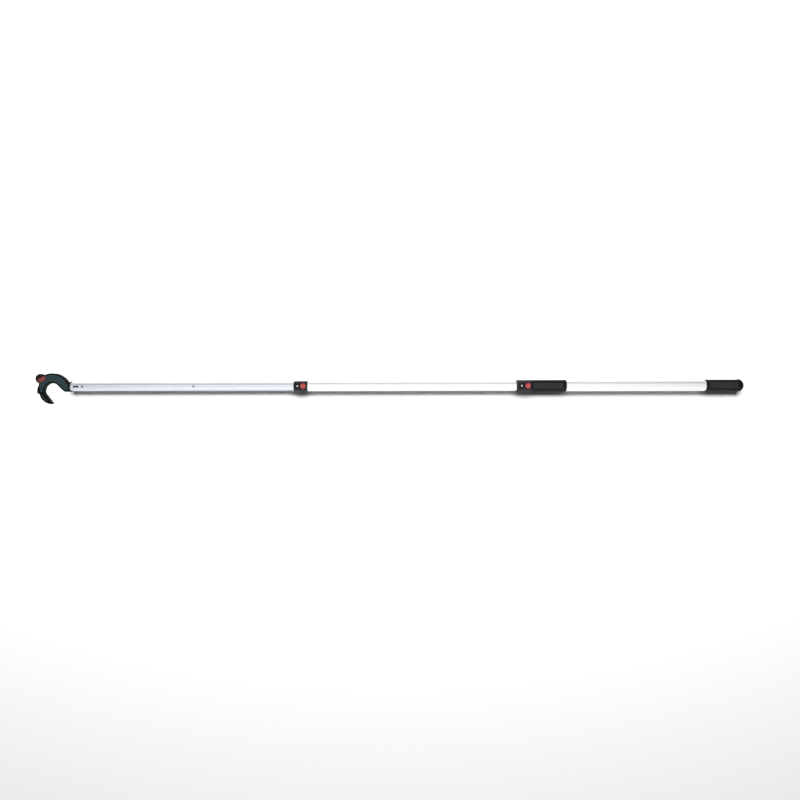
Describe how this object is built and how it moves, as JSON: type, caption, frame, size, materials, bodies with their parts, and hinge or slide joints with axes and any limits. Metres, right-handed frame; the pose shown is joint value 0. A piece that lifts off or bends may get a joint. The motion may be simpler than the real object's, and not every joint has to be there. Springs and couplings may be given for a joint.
{
  "type": "boat hook",
  "caption": "Telescopic boat hook: three nested flat-sided tubes with push-button lock collars, rubber grips and a C-shaped mooring hook with a swinging arm.",
  "frame": {"origin": "middle of the flat butt face, on the pole's axis", "axes": "+X runs along the pole from the hook to the butt and out of the butt face; the hook opens towards -Y; the buttons and the tubes' flats face +Z"},
  "size_m": [2.4349, 0.1063, 0.048],
  "materials": {
    "anodised_tube": "satin anodised",
    "collar_polymer": "moulded, fine texture",
    "hook_polymer": "glass-filled moulding",
    "panel_polymer": "moulded, fine texture",
    "button_polymer": "moulded, satin",
    "grip_rubber": "ribbed soft rubber",
    "bush_nylon": "natural nylon",
    "spring_steel": "stainless, bright",
    "fixing_steel": "stainless"
  },
  "bodies": {
    "outer_stage": {"outer_tube": "anodised_tube", "butt_cap": "grip_rubber", "butt_grip": "grip_rubber", "fore_grip": "grip_rubber", "fore_grip_ring": "grip_rubber", "handle_collar": "collar_polymer", "handle_guide_bush": "bush_nylon", "handle_lock_leaf": "spring_steel", "handle_lock_spring": "spring_steel", "handle_fulcrum_pin": "spring_steel", "handle_collar_rivets": "fixing_steel"},
    "handle_button": {"handle_button": "button_polymer"},
    "middle_stage": {"middle_tube": "anodised_tube", "middle_tail_bush": "bush_nylon", "middle_collar": "collar_polymer", "middle_guide_bush": "bush_nylon", "middle_lock_leaf": "spring_steel", "middle_lock_spring": "spring_steel", "middle_fulcrum_pin": "spring_steel", "middle_collar_rivets": "fixing_steel"},
    "middle_button": {"middle_button": "button_polymer"},
    "inner_stage": {"inner_tube": "anodised_tube", "inner_tail_bush": "bush_nylon", "hook_socket": "hook_polymer", "head_key": "hook_polymer", "hook_shell_upper": "hook_polymer", "hook_shell_lower": "hook_polymer", "hook_panel_upper": "panel_polymer", "hook_panel_lower": "panel_polymer", "nose_bumper": "grip_rubber", "side_bumper": "grip_rubber", "shell_screws": "fixing_steel", "arm_catch": "spring_steel", "arm_button_spring": "spring_steel"},
    "threading_arm": {"threading_arm": "hook_polymer", "arm_inlay_upper": "panel_polymer", "arm_inlay_lower": "panel_polymer"},
    "arm_button": {"arm_button": "button_polymer"}
  },
  "joints": [
    {"name": "middle_slide", "type": "slide", "parent": "outer_stage", "child": "middle_stage", "axis": [1, 0, 0], "range_m": [0, 0.628]},
    {"name": "inner_slide", "type": "slide", "parent": "middle_stage", "child": "inner_stage", "axis": [1, 0, 0], "range_m": [0, 0.74]},
    {"name": "handle_button_press", "type": "slide", "parent": "outer_stage", "child": "handle_button", "axis": [0, 0, -1], "range_m": [0, 0.002], "stiffness_N_per_m": 1500, "springref_m": -0.0012, "deforming": ["handle_lock_leaf", "handle_lock_spring"]},
    {"name": "middle_button_press", "type": "slide", "parent": "middle_stage", "child": "middle_button", "axis": [0, 0, -1], "range_m": [0, 0.002], "stiffness_N_per_m": 1500, "springref_m": -0.0012, "deforming": ["middle_lock_leaf", "middle_lock_spring"]},
    {"name": "arm_button_press", "type": "slide", "parent": "inner_stage", "child": "arm_button", "axis": [0, 0, -1], "range_m": [0, 0.002], "stiffness_N_per_m": 1500, "springref_m": -0.0012, "deforming": ["arm_catch", "arm_button_spring"]},
    {"name": "arm_turn", "type": "hinge", "parent": "inner_stage", "child": "threading_arm", "pos_m": [-2.3766, -0.0151, 0], "axis": [0, 0, 1], "range_deg": [0, 85]}
  ]
}
